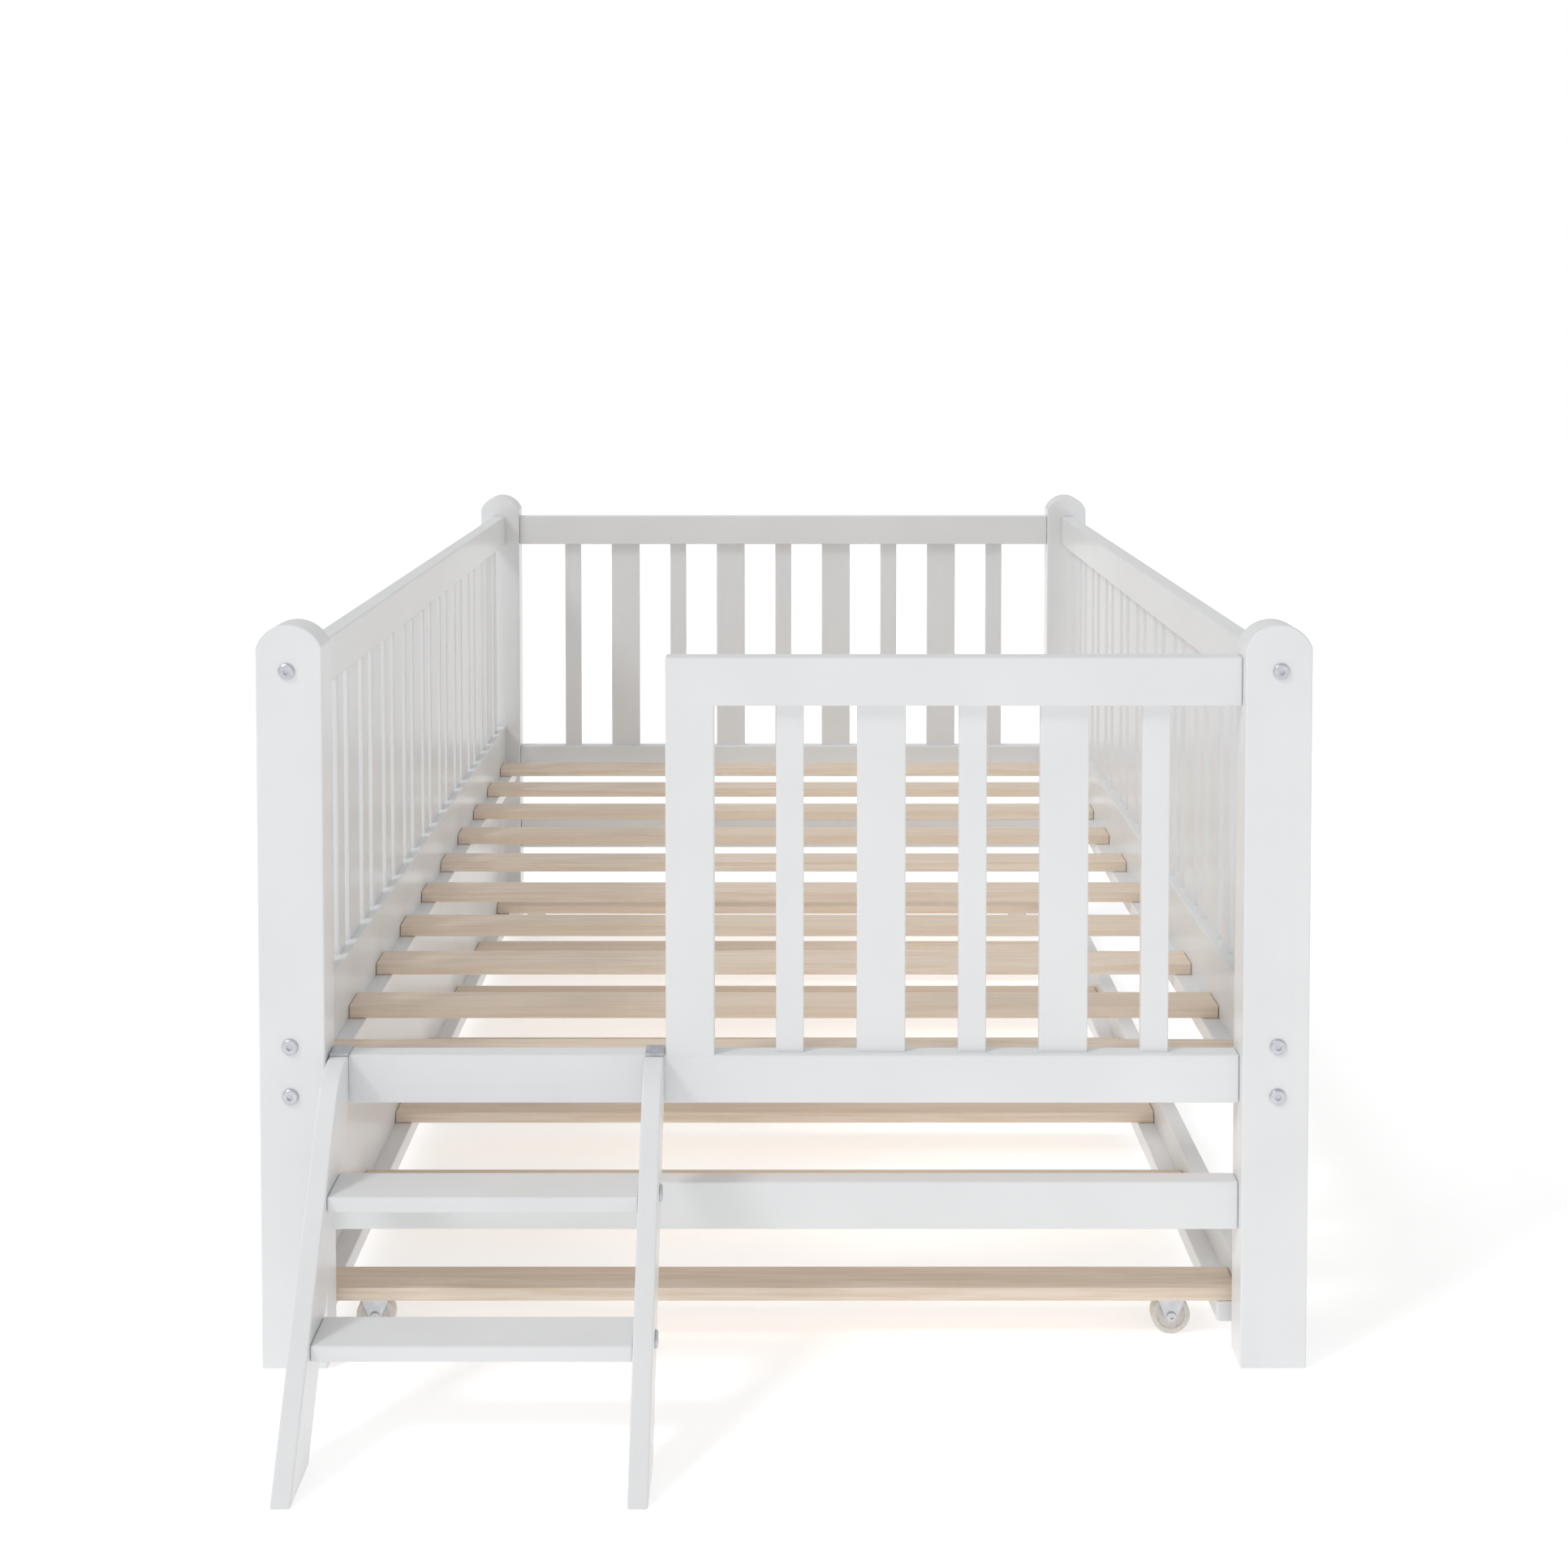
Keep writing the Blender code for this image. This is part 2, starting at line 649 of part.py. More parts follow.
def main():
    clear_scene()
    bed = add_holder("bed", location=(0, FRONT_Y, 0))
    trundle = add_holder("trundle", bed)
    ladder = add_holder("ladder", bed)
    places = bolt_places()
    length = POST_DEPTH + BOLT_BITE
    holes = make_holes(bed, "frame_bolt_holes", places, length + HOLE_SPARE)
    make_posts(bed, holes)
    make_side_panels(bed, holes)
    make_end_panels(bed)
    make_slats(bed)
    make_bolts(bed, places, length)
    make_trundle(trundle)
    make_casters(trundle)
    make_ladder(ladder)


main()
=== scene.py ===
# Trundle bed in white lacquered wood, with a hook-on ladder and a rolling trundle. Metres, Z up.
import math

import bmesh
import bpy
from mathutils import Matrix, Vector


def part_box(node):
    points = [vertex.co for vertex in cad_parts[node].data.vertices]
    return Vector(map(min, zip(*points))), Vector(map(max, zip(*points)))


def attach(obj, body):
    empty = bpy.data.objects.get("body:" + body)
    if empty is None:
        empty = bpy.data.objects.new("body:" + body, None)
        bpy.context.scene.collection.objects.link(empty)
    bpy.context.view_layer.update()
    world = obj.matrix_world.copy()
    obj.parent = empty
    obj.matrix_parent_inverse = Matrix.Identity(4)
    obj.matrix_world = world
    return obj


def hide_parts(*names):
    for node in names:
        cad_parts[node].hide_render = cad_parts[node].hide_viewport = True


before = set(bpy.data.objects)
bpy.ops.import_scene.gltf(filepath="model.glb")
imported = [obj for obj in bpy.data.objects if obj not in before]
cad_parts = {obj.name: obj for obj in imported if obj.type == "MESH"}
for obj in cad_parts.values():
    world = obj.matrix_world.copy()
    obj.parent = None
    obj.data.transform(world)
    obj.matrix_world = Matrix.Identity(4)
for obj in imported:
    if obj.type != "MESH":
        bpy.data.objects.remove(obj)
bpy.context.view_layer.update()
print("frame loaded")


# Small helpers

def linear(hexColour):  # sRGB hex to linear colour
    channels = []
    for i in (0, 2, 4):
        value = int(hexColour[i:i + 2], 16) / 255
        channels.append(value / 12.92 if value <= 0.04045 else ((value + 0.055) / 1.055) ** 2.4)
    return (*channels, 1)


def addNode(tree, kind, settings=None, links=None):
    # links: input name or number -> a socket; settings: attribute or input -> a value
    node = tree.nodes.new(kind)
    for name, value in (settings or {}).items():
        if isinstance(name, str) and hasattr(node, name):
            setattr(node, name, value)
        else:
            node.inputs[name].default_value = value
    for name, socket in (links or {}).items():
        tree.links.new(socket, node.inputs[name])
    return node


def newMaterial(name, surface):
    material = bpy.data.materials.new(name)
    material.use_nodes = True
    tree = material.node_tree
    shader = tree.nodes["Principled BSDF"]
    for socket, value in surface.items():
        shader.inputs[socket].default_value = value
    return material, tree, shader


# Satin white lacquer, sprayed on sanded wood: an even, barely cool white with soft highlights,
# a fine orange peel, and the wood's grain only just telegraphing through the coat.
lacquer = {
    "light": "E9EAEB",
    "shade": "E4E5E6",
    "roughness": (0.30, 0.40),
    "coat": 0.25,
    "coatRoughness": 0.18,
    "mottleMm": 180,  # slow unevenness of the sprayed coat
    "grainMm": 13.2,  # the broadest streak; five finer octaves reach below growth ring spacing
    "grainStretch": 0.03,  # along the board the noise changes only this fast, so it makes streaks
    "grainShow": 0.25,  # how much of the grain shows in the colour
    "grainHeight": 0.00002,
    "peelMm": 1.6,
    "peelHeight": 0.00002,
}


def makeLacquer(name, grainAxis):
    material, tree, shader = newMaterial(name, {
        "Coat Weight": lacquer["coat"],
        "Coat Roughness": lacquer["coatRoughness"],
        "IOR": 1.5,
    })
    place = addNode(tree, "ShaderNodeTexCoord").outputs["Object"]
    stretch = [1, 1, 1]
    stretch["XYZ".index(grainAxis)] = lacquer["grainStretch"]
    along = addNode(tree, "ShaderNodeMapping", {"Scale": stretch}, {"Vector": place}).outputs[0]
    mottle = addNode(tree, "ShaderNodeTexNoise", {
        "Scale": 1000 / lacquer["mottleMm"], "Detail": 3, "Roughness": 0.5,
    }, {"Vector": place})
    grain = addNode(tree, "ShaderNodeTexNoise", {
        "Scale": 1000 / lacquer["grainMm"], "Detail": 5, "Roughness": 0.6,
    }, {"Vector": along})
    both = addNode(tree, "ShaderNodeMath", {"operation": "MULTIPLY_ADD", 1: lacquer["grainShow"]},
                   {0: grain.outputs[0], 2: mottle.outputs[0]})
    tint = addNode(tree, "ShaderNodeValToRGB", links={"Fac": both.outputs[0]})
    tint.color_ramp.elements[0].position = 0.40
    tint.color_ramp.elements[0].color = linear(lacquer["shade"])
    tint.color_ramp.elements[1].position = 0.85
    tint.color_ramp.elements[1].color = linear(lacquer["light"])
    tree.links.new(tint.outputs["Color"], shader.inputs["Base Color"])
    gloss = addNode(tree, "ShaderNodeMapRange", {
        "To Min": lacquer["roughness"][0], "To Max": lacquer["roughness"][1],
    }, {"Value": mottle.outputs[0]})
    tree.links.new(gloss.outputs[0], shader.inputs["Roughness"])
    peel = addNode(tree, "ShaderNodeTexNoise", {"Scale": 1000 / lacquer["peelMm"], "Detail": 1},
                   {"Vector": place})
    low = addNode(tree, "ShaderNodeBump", {"Strength": 0.5, "Distance": lacquer["peelHeight"]},
                  {"Height": peel.outputs[0]})
    high = addNode(tree, "ShaderNodeBump", {"Strength": 0.6, "Distance": lacquer["grainHeight"]},
                   {"Height": grain.outputs[0], "Normal": low.outputs[0]})
    tree.links.new(high.outputs[0], shader.inputs["Normal"])
    return material


# Planed pine, left bare: pale straw colour, fine straight grain along the board, slightly darker
# late wood lines, a dry matte face, and each board a little different.
pine = {
    "early": "EFE0D0",
    "late": "E4D0BA",
    "warm": "E4D0BA",
    "warmShare": 0.55,  # how far a patch of board goes to the warm tone
    "roughness": (0.52, 0.68),
    "grainStretch": 0.035,  # the same for the slats, whose grain runs along X
    "ringMm": 7,
    "swayMm": 111.11,  # slow change of dryness, seen only in the gloss
    "boardMm": 90,
    "fibreMm": 1.5,  # real fibres are finer, drawn as coarse as shows
    "fibreShade": (0.94, 1.02),
    "fibreHeight": 0.00012,
}


def makePine(name):
    material, tree, shader = newMaterial(name, {"IOR": 1.5})
    place = addNode(tree, "ShaderNodeTexCoord").outputs["Object"]
    along = addNode(tree, "ShaderNodeMapping", {"Scale": (pine["grainStretch"], 1, 1)},
                    {"Vector": place}).outputs[0]
    sway = addNode(tree, "ShaderNodeTexNoise", {"Scale": 1000 / pine["swayMm"], "Detail": 2},
                   {"Vector": along})
    ring = addNode(tree, "ShaderNodeTexNoise", {
        "Scale": 1000 / pine["ringMm"], "Detail": 3, "Roughness": 0.55, "Distortion": 0.4,
    }, {"Vector": along})
    fibre = addNode(tree, "ShaderNodeTexNoise", {
        "Scale": 1000 / pine["fibreMm"], "Detail": 4, "Roughness": 0.7,
    }, {"Vector": along})
    board = addNode(tree, "ShaderNodeTexNoise", {"Scale": 1000 / pine["boardMm"], "Detail": 1},
                    {"Vector": along})
    lines = addNode(tree, "ShaderNodeValToRGB", links={"Fac": ring.outputs[0]})
    lines.color_ramp.elements[0].position = 0.36
    lines.color_ramp.elements[0].color = linear(pine["late"])
    lines.color_ramp.elements[1].position = 0.62
    lines.color_ramp.elements[1].color = linear(pine["early"])
    warmth = addNode(tree, "ShaderNodeMapRange", {
        "From Min": 0.35, "From Max": 0.7, "To Max": pine["warmShare"],
    }, {"Value": board.outputs[0]})
    warmer = addNode(tree, "ShaderNodeMix", {
        "data_type": "RGBA", "blend_type": "MIX", 7: linear(pine["warm"]),
    }, {0: warmth.outputs[0], 6: lines.outputs[0]})
    fine = addNode(tree, "ShaderNodeMapRange", {
        "From Min": 0.3, "From Max": 0.7, "To Min": pine["fibreShade"][0], "To Max": pine["fibreShade"][1],
    }, {"Value": fibre.outputs[0]})
    shaded = addNode(tree, "ShaderNodeMix", {"data_type": "RGBA", "blend_type": "MULTIPLY", 0: 1.0},
                     {6: warmer.outputs[2], 7: fine.outputs[0]})
    tree.links.new(shaded.outputs[2], shader.inputs["Base Color"])
    gloss = addNode(tree, "ShaderNodeMapRange", {
        "To Min": pine["roughness"][0], "To Max": pine["roughness"][1],
    }, {"Value": sway.outputs[0]})
    tree.links.new(gloss.outputs[0], shader.inputs["Roughness"])
    bump = addNode(tree, "ShaderNodeBump", {"Strength": 0.5, "Distance": pine["fibreHeight"]},
                   {"Height": fibre.outputs[0]})
    tree.links.new(bump.outputs[0], shader.inputs["Normal"])
    return material


# Zinc-plated steel, tumbled: pale grey metal, faintly cloudy, with soft blurred reflections.
zinc = {
    "pale": "D3D6DA",
    "cloud": "C1C5CA",
    "roughness": (0.36, 0.50),
    "cloudMm": 9,
    "gritMm": 0.8,
    "gritHeight": 0.00002,
}


def makeZinc(name):
    material, tree, shader = newMaterial(name, {"Metallic": 1.0})
    place = addNode(tree, "ShaderNodeTexCoord").outputs["Object"]
    cloud = addNode(tree, "ShaderNodeTexNoise", {"Scale": 1000 / zinc["cloudMm"], "Detail": 3},
                    {"Vector": place})
    grit = addNode(tree, "ShaderNodeTexNoise", {"Scale": 1000 / zinc["gritMm"], "Detail": 2},
                   {"Vector": place})
    tint = addNode(tree, "ShaderNodeValToRGB", links={"Fac": cloud.outputs[0]})
    tint.color_ramp.elements[0].position = 0.3
    tint.color_ramp.elements[0].color = linear(zinc["cloud"])
    tint.color_ramp.elements[1].position = 0.7
    tint.color_ramp.elements[1].color = linear(zinc["pale"])
    tree.links.new(tint.outputs["Color"], shader.inputs["Base Color"])
    gloss = addNode(tree, "ShaderNodeMapRange", {
        "To Min": zinc["roughness"][0], "To Max": zinc["roughness"][1],
    }, {"Value": cloud.outputs[0]})
    tree.links.new(gloss.outputs[0], shader.inputs["Roughness"])
    bump = addNode(tree, "ShaderNodeBump", {"Strength": 0.4, "Distance": zinc["gritHeight"]},
                   {"Height": grit.outputs[0]})
    tree.links.new(bump.outputs[0], shader.inputs["Normal"])
    return material


# Injection-moulded nylon: warm off-white, faintly translucent, satin with duller scuffed patches.
nylon = {
    "body": "D9D5CF",
    "scuff": "D1CCC5",
    "roughness": (0.36, 0.58),
    "translucency": 0.12,
    "translucentDepth": 0.002,
    "scuffMm": 5,
    "textureMm": 0.9,
    "textureHeight": 0.00003,
}


def makeNylon(name):
    material, tree, shader = newMaterial(name, {
        "Subsurface Weight": nylon["translucency"],
        "Subsurface Scale": nylon["translucentDepth"],
        "IOR": 1.53,
    })
    place = addNode(tree, "ShaderNodeTexCoord").outputs["Object"]
    scuff = addNode(tree, "ShaderNodeTexNoise", {"Scale": 1000 / nylon["scuffMm"], "Detail": 4},
                    {"Vector": place})
    fine = addNode(tree, "ShaderNodeTexNoise", {"Scale": 1000 / nylon["textureMm"], "Detail": 1},
                   {"Vector": place})
    tint = addNode(tree, "ShaderNodeValToRGB", links={"Fac": scuff.outputs[0]})
    tint.color_ramp.elements[0].position = 0.35
    tint.color_ramp.elements[0].color = linear(nylon["scuff"])
    tint.color_ramp.elements[1].position = 0.6
    tint.color_ramp.elements[1].color = linear(nylon["body"])
    tree.links.new(tint.outputs["Color"], shader.inputs["Base Color"])
    gloss = addNode(tree, "ShaderNodeMapRange", {
        "To Min": nylon["roughness"][1], "To Max": nylon["roughness"][0],
    }, {"Value": scuff.outputs[0]})
    tree.links.new(gloss.outputs[0], shader.inputs["Roughness"])
    bump = addNode(tree, "ShaderNodeBump", {"Strength": 0.4, "Distance": nylon["textureHeight"]},
                   {"Height": fine.outputs[0]})
    tree.links.new(bump.outputs[0], shader.inputs["Normal"])
    return material


finishes = {
    "X": makeLacquer("white_lacquer_sprayed_grain_x", "X"),
    "Y": makeLacquer("white_lacquer_sprayed_grain_y", "Y"),
    "Z": makeLacquer("white_lacquer_sprayed_grain_z", "Z"),
    "pine": makePine("pine_planed_bare"),
    "zinc": makeZinc("zinc_plated_steel_tumbled"),
    "nylon": makeNylon("nylon_moulded"),
}
print("materials made")


# Building boards

edges = {
    "round": 0.0025,  # sanded edge radius
    "slatRound": 0.0015,
    "picketRound": 0.002,
    "segments": 3,
    "sharpFrom": 35,  # degrees
    "sharpTo": 100,
    "smoothUnder": 42,
    "tenon": 0.004,  # how far a glued board runs into its neighbour
}


def roundEdges(shape, corners, width, segments):
    corners = set(corners)
    bmesh.ops.recalc_face_normals(shape, faces=shape.faces)
    low, high = math.radians(edges["sharpFrom"]), math.radians(edges["sharpTo"])
    sharp = [
        edge for edge in shape.edges
        if edge.verts[0] in corners and edge.verts[1] in corners and low < edge.calc_face_angle() < high
    ]
    bmesh.ops.bevel(shape, geom=sharp, offset=width, offset_type="OFFSET", segments=segments,
                    profile=0.5, affect="EDGES")


def addBoard(shape, low, high, grain=0, width=None):
    # A planed board between two corners; grain picks the material slot
    middle = [(a + b) / 2 for a, b in zip(low, high)]
    size = [b - a for a, b in zip(low, high)]
    place = Matrix.Translation(middle) @ Matrix.Diagonal((*size, 1))
    before = set(shape.faces)
    corners = bmesh.ops.create_cube(shape, size=1, matrix=place)["verts"]
    roundEdges(shape, corners, width or edges["round"], edges["segments"])
    for face in shape.faces:
        if face not in before:
            face.material_index = grain


def addExtrusion(shape, outline, axis, ends, width, segments=edges["segments"]):
    # outline points are (depth, height) for axis X, (across, height) for axis Y
    rings = []
    for end in ends:
        ring = []
        for first, height in outline:
            point = (end, first, height) if axis == "X" else (first, end, height)
            ring.append(shape.verts.new(point))
        rings.append(ring)
        shape.faces.new(ring)
    near, far = rings
    for i in range(len(outline)):
        shape.faces.new((near[i - 1], near[i], far[i], far[i - 1]))
    roundEdges(shape, near + far, width, segments)


def addTurned(shape, outline, steps, place, flats=(), closed=False):
    # outline points are (radius, height); those numbered in flats follow a hexagon
    rings = []
    for number, (radius, height) in enumerate(outline):
        ring = []
        for step in range(steps if radius else 1):
            angle = math.tau * step / steps
            out = radius
            if number in flats:  # the angle here is counted from the middle of a flat
                out = radius / math.cos((angle + math.pi / 6) % (math.pi / 3) - math.pi / 6)
            point = Vector((out * math.cos(angle), out * math.sin(angle), height))
            ring.append(shape.verts.new(place @ point))
        rings.append(ring)
    pairs = list(zip(rings, rings[1:]))
    if closed:
        pairs.append((rings[-1], rings[0]))
    for lower, upper in pairs:
        for i in range(steps):
            if len(lower) == 1:
                shape.faces.new((lower[0], upper[i], upper[i - 1]))
            elif len(upper) == 1:
                shape.faces.new((lower[i - 1], lower[i], upper[0]))
            else:
                shape.faces.new((lower[i - 1], lower[i], upper[i], upper[i - 1]))


def facing(direction):
    return Vector((0, 0, 1)).rotation_difference(Vector(direction)).to_matrix().to_4x4()


def finishPiece(name, shape, materials, body, nodes):
    bmesh.ops.recalc_face_normals(shape, faces=shape.faces)
    mesh = bpy.data.meshes.new(name)
    shape.to_mesh(mesh)
    shape.free()
    for key in materials:
        mesh.materials.append(finishes[key])
    mesh.shade_smooth()
    mesh.set_sharp_from_angle(angle=math.radians(edges["smoothUnder"]))
    piece = bpy.data.objects.new(name, mesh)
    bpy.context.scene.collection.objects.link(piece)
    weights = piece.modifiers.new("even_shading", "WEIGHTED_NORMAL")
    weights.keep_sharp = True
    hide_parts(*nodes)
    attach(piece, body)
    return piece


# Boards that are plain: one for each CAD node, rounded more finely

plainBoards = {
    "front_stretcher": ("bed", "X"),
    "back_stretcher": ("bed", "X"),
    "ladder_tread_lower": ("ladder", "X"),
    "ladder_tread_upper": ("ladder", "X"),
}
for number in range(1, 11):
    plainBoards[f"slat_{number:02d}"] = ("bed", "pine")
for number in range(1, 8):
    plainBoards[f"trundle_slat_{number}"] = ("trundle", "pine")

for node, (body, finish) in plainBoards.items():
    low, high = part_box(node)
    shape = bmesh.new()
    addBoard(shape, low, high, width=edges["slatRound"] if finish == "pine" else None)
    finishPiece(f"{node}_board", shape, [finish], body, [node])
print("plain boards made")


# Guard panels: two rails with pickets let in between them

panel = {
    "topRailBase": 0.955,
    "railThick": 0.030,
    "sideRailTop": 0.503,
    "bedRailTop": 0.450,
    "narrow": 0.040,
    "wide": 0.070,
    "thick": 0.014,
    "sidePitch": 0.08715,
    "backPitch": 0.131,
    "inset": 0.013,
    "guardInset": 0.011,
    "guardPitch": 0.1315,
    "guardFirst": 0.1085,
    "stileLeft": -0.170,
    "stileWidth": 0.070,
    "stileRelief": 0.0003,  # the stile lies this far under the rails' faces
    "ledgerSide": 0.028,
    "ledgerTop": 0.400,
    "bite": 0.002,
}
alongX, alongY, upright = 0, 1, 2
grains = ["X", "Y", "Z"]
picketLift = (panel["sideRailTop"] - edges["tenon"], panel["topRailBase"] + edges["tenon"])


def addPickets(shape, middle, pitch, halfRoom, span, height):
    # span(low, high) turns a picket's place along the row into two corners
    each = int((halfRoom - panel["wide"] / 2) / pitch)
    for k in range(-each, each + 1):
        half = (panel["wide"] if k % 2 else panel["narrow"]) / 2
        centre = middle + k * pitch
        low, high = span(centre - half, centre + half)
        addBoard(shape, (*low, height[0]), (*high, height[1]), upright, edges["picketRound"])


for side, sign in (("left", -1), ("right", 1)):
    node = f"side_panel_{side}"
    low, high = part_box(node)
    outer = sign * max(abs(low[0]), abs(high[0]))
    inner = outer - sign * panel["railThick"]
    near = inner + sign * panel["inset"]
    far = near + sign * panel["thick"]
    shape = bmesh.new()
    x0, x1 = sorted((inner, outer))
    addBoard(shape, (x0, low[1], panel["topRailBase"]), (x1, high[1], high[2]), alongY)
    addBoard(shape, (x0, low[1], low[2]), (x1, high[1], panel["sideRailTop"]), alongY)
    addPickets(shape, (low[1] + high[1]) / 2, panel["sidePitch"], (high[1] - low[1]) / 2,
               lambda a, b: ((min(near, far), a), (max(near, far), b)), picketLift)
    x0, x1 = sorted((inner + sign * panel["bite"], inner - sign * panel["ledgerSide"]))
    addBoard(shape, (x0, low[1], panel["ledgerTop"] - panel["ledgerSide"]),
             (x1, high[1], panel["ledgerTop"]), alongY)
    finishPiece(f"{node}_boards", shape, grains, "bed", [node])

endLift = (panel["bedRailTop"] - edges["tenon"], panel["topRailBase"] + edges["tenon"])
low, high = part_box("back_panel")
shape = bmesh.new()
addBoard(shape, (low[0], low[1], panel["topRailBase"]), high, alongX)
addBoard(shape, low, (high[0], high[1], panel["bedRailTop"]), alongX)
near = low[1] + panel["inset"]
addPickets(shape, 0, panel["backPitch"], high[0],
           lambda a, b: ((a, near), (b, near + panel["thick"])), endLift)
finishPiece("back_panel_boards", shape, grains, "bed", ["back_panel"])

low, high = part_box("front_panel")
shape = bmesh.new()
stileRight = panel["stileLeft"] + panel["stileWidth"]
addBoard(shape, (panel["stileLeft"], low[1], panel["topRailBase"]), high, alongX)
addBoard(shape, low, (high[0], high[1], panel["bedRailTop"]), alongX)
addBoard(shape, (panel["stileLeft"], low[1] + panel["stileRelief"], endLift[0]),
         (stileRight, high[1] - panel["stileRelief"], endLift[1]), upright)
near = low[1] + panel["guardInset"]
centre, width = stileRight + panel["guardFirst"], panel["narrow"]
while centre + panel["wide"] / 2 < high[0]:
    addBoard(shape, (centre - width / 2, near, endLift[0]),
             (centre + width / 2, near + panel["thick"], endLift[1]), upright, edges["picketRound"])
    width = panel["wide"] + panel["narrow"] - width  # narrow and wide by turns
    centre += panel["guardPitch"]
finishPiece("front_panel_boards", shape, grains, "bed", ["front_panel"])
print("guard panels made")


# Corner posts with a low round crown

post = {"rise": 0.034, "steps": 28, "round": 0.003}

for end in ("front", "back"):
    for side in ("left", "right"):
        node = f"post_{end}_{side}"
        low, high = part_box(node)
        half = (high[0] - low[0]) / 2
        centre = (high[0] + low[0]) / 2
        radius = (half ** 2 + post["rise"] ** 2) / (2 * post["rise"])
        sweep = math.asin(half / radius)
        outline = [(low[0], low[2]), (high[0], low[2])]
        for step in range(post["steps"] + 1):
            angle = sweep - 2 * sweep * step / post["steps"]
            outline.append((centre + radius * math.sin(angle), high[2] - radius + radius * math.cos(angle)))
        shape = bmesh.new()
        addExtrusion(shape, outline, "Y", (low[1], high[1]), post["round"])
        finishPiece(f"{node}_turned_top", shape, ["Z"], "bed", [node])
print("posts made")


# Trundle boards with their ledgers

trundle = {"faceThick": 0.020, "railThick": 0.028, "ledger": 0.030, "bite": 0.002}

low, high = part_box("trundle_face_board")
shape = bmesh.new()
addBoard(shape, low, (low[0] + trundle["faceThick"], high[1], high[2]))
addBoard(shape, (low[0] + trundle["faceThick"] - trundle["bite"], low[1], low[2]),
         (high[0], high[1], low[2] + trundle["ledger"]))
finishPiece("trundle_face_and_ledger", shape, ["Y"], "trundle", ["trundle_face_board"])
low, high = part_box("trundle_rail")
shape = bmesh.new()
addBoard(shape, (high[0] - trundle["railThick"], low[1], low[2]), high)
addBoard(shape, low, (high[0] - trundle["railThick"] + trundle["bite"], high[1], low[2] + trundle["ledger"]))
finishPiece("trundle_rail_and_ledger", shape, ["Y"], "trundle", ["trundle_rail"])
print("trundle made")


# Ladder stringers, upright at the back of the top and rounded in front of it, and bent hooks

ladder = {
    "lean": 0.62,
    "kneeHeight": 0.380,
    "crown": 0.080,
    "crownSteps": 16,
    "round": 0.0025,
    "hookSheet": 0.003,
    "hookBend": 0.004,
    "hookRound": 0.0005,
    "hookSegments": 2,
    "backLeg": 0.030,
    "bendSteps": 5,
}

for side in ("left", "right"):
    node = f"ladder_stringer_{side}"
    low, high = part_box(node)
    back = high[1]
    heel = back - ladder["lean"] * ladder["kneeHeight"]
    toe = low[1]
    corner = toe + ladder["lean"] * high[2]
    turn = math.pi / 2 - math.atan(ladder["lean"])
    arcCentre = corner + ladder["crown"] * math.tan(turn / 2)
    outline = [(toe, low[2]), (heel, low[2]), (back, ladder["kneeHeight"]), (back, high[2])]
    for step in range(ladder["crownSteps"] + 1):
        angle = math.pi / 2 + turn * step / ladder["crownSteps"]
        outline.append((arcCentre + ladder["crown"] * math.cos(angle),
                        high[2] - ladder["crown"] + ladder["crown"] * math.sin(angle)))
    shape = bmesh.new()
    addExtrusion(shape, outline, "X", (low[0], high[0]), ladder["round"])
    finishPiece(f"{node}_board", shape, ["Z"], "ladder", [node])

    node = f"ladder_hook_{side}"
    low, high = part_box(node)
    sheet, bend = ladder["hookSheet"], ladder["hookBend"]
    top = high[2]
    outline = [
        (low[1], low[2]),
        (low[1] + sheet, low[2]),
        (low[1] + sheet, top - sheet),
        (high[1] - sheet, top - sheet),
        (high[1] - sheet, top - sheet - ladder["backLeg"]),
        (high[1], top - sheet - ladder["backLeg"]),
    ]
    for centre, start in (((high[1] - bend, top - bend), 0), ((low[1] + bend, top - bend), math.pi / 2)):
        for step in range(ladder["bendSteps"] + 1):
            angle = start + math.pi / 2 * step / ladder["bendSteps"]
            outline.append((centre[0] + bend * math.cos(angle), centre[1] + bend * math.sin(angle)))
    shape = bmesh.new()
    addExtrusion(shape, outline, "X", (low[0], high[0]), ladder["hookRound"], ladder["hookSegments"])
    finishPiece(f"{node}_strip", shape, ["zinc"], "ladder", [node])
print("ladder made")


# Furniture bolts: a wide low head with a chamfered rim and a hexagon socket

bolt = {
    "radius": 0.0115,
    "flat": 0.0094,
    "head": 0.0035,
    "rim": 0.0019,  # where the head's upright side ends
    "socket": 0.004,
    "socketDepth": 0.0024,
    "shank": 0.004,
    "steps": 36,
}
boltOutline = [  # (radius, height over the seat); None is the tip, filled in for each bolt
    (0, None),
    (bolt["shank"], None),
    (bolt["shank"], 0),
    (bolt["radius"], 0),
    (bolt["radius"], bolt["rim"]),
    (bolt["radius"] - 0.0003, bolt["rim"] + 0.0004),
    (bolt["flat"] + 0.0003, bolt["head"] - 0.0001),
    (bolt["flat"], bolt["head"]),
    (bolt["flat"] - 0.0006, bolt["head"] - 0.0002),
    (bolt["flat"] - 0.0012, bolt["head"] - 0.0001),
    (bolt["socket"] + 0.0005, bolt["head"] - 0.0001),
    (bolt["socket"], bolt["head"] - 0.0005),
    (bolt["socket"], bolt["head"] - bolt["socketDepth"]),
    (0, bolt["head"] - bolt["socketDepth"] - 0.0006),
]
boltFlats = (10, 11, 12)  # the socket's points of the outline


